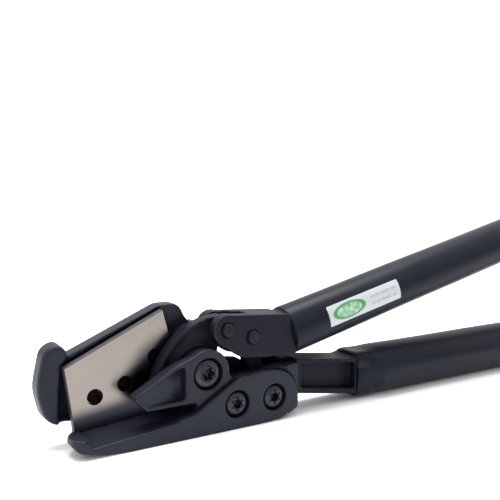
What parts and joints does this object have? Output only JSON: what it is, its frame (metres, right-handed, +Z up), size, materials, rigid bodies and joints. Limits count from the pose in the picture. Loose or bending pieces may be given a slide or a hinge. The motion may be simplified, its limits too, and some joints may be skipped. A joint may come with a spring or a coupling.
{
  "type": "steel strap cutter",
  "caption": "Two-handed steel strap cutter with a flat foot, a strap guide arm, a ground blade in a holder, a compound toggle linkage and long sleeved handles.",
  "frame": {"origin": "on the flat underside of the foot, straight under the main pivot and in the middle plane of the handles", "axes": "+X from the main pivot towards the handles, -Y the side of the foot flange, +Z up"},
  "size_m": [0.5953, 0.0402, 0.1687],
  "materials": {
    "forged_black": "satin black finish on forged steel",
    "blade_steel": "ground and satin",
    "black_fastener": "black oxide",
    "bright_steel": "zinc plated",
    "tube_steel": "black paint",
    "grip_vinyl": "satin black vinyl",
    "plug_plastic": "matt black",
    "label_film": "printed film"
  },
  "bodies": {
    "lower_frame": {"foot": "forged_black", "near_side_plate": "forged_black", "lower_lever": "forged_black", "lower_tube": "tube_steel", "lower_grip": "grip_vinyl", "lower_end_plug": "plug_plastic", "pivot_bolt": "black_fastener", "pivot_washer": "bright_steel", "pivot_nut": "black_fastener", "body_screws": "black_fastener", "body_nuts": "black_fastener"},
    "upper_jaw": {"jaw_arm": "forged_black", "pivot_bush": "bright_steel", "eye_bush": "bright_steel", "blade_holder": "forged_black", "upper_blade": "blade_steel", "blade_screws": "black_fastener", "holder_screws": "black_fastener"},
    "upper_handle": {"upper_fork": "forged_black", "arm_pin": "black_fastener", "link_pin": "black_fastener", "upper_tube": "tube_steel", "upper_grip": "grip_vinyl", "upper_end_plug": "plug_plastic", "label_sticker": "label_film"},
    "toggle_link": {"toggle_link": "forged_black"}
  },
  "joints": [
    {"name": "jaw_pivot", "type": "hinge", "parent": "lower_frame", "child": "upper_jaw", "pos_m": [0, 0, 0.035], "axis": [0, 1, 0], "range_deg": [0, 26]},
    {"name": "handle_pivot", "type": "hinge", "parent": "upper_jaw", "child": "upper_handle", "pos_m": [0.014, 0, 0.059], "axis": [0, 1, 0], "range_deg": [-60.1, 0]},
    {"name": "link_pivot", "type": "hinge", "parent": "lower_frame", "child": "toggle_link", "pos_m": [0.0445, 0, 0.015], "axis": [0, 1, 0], "range_deg": [0, 15.1]}
  ],
  "couplings": [
    {"joint": "handle_pivot", "follows": "jaw_pivot", "ratio": -2.31},
    {"joint": "link_pivot", "follows": "jaw_pivot", "ratio": 0.58}
  ]
}
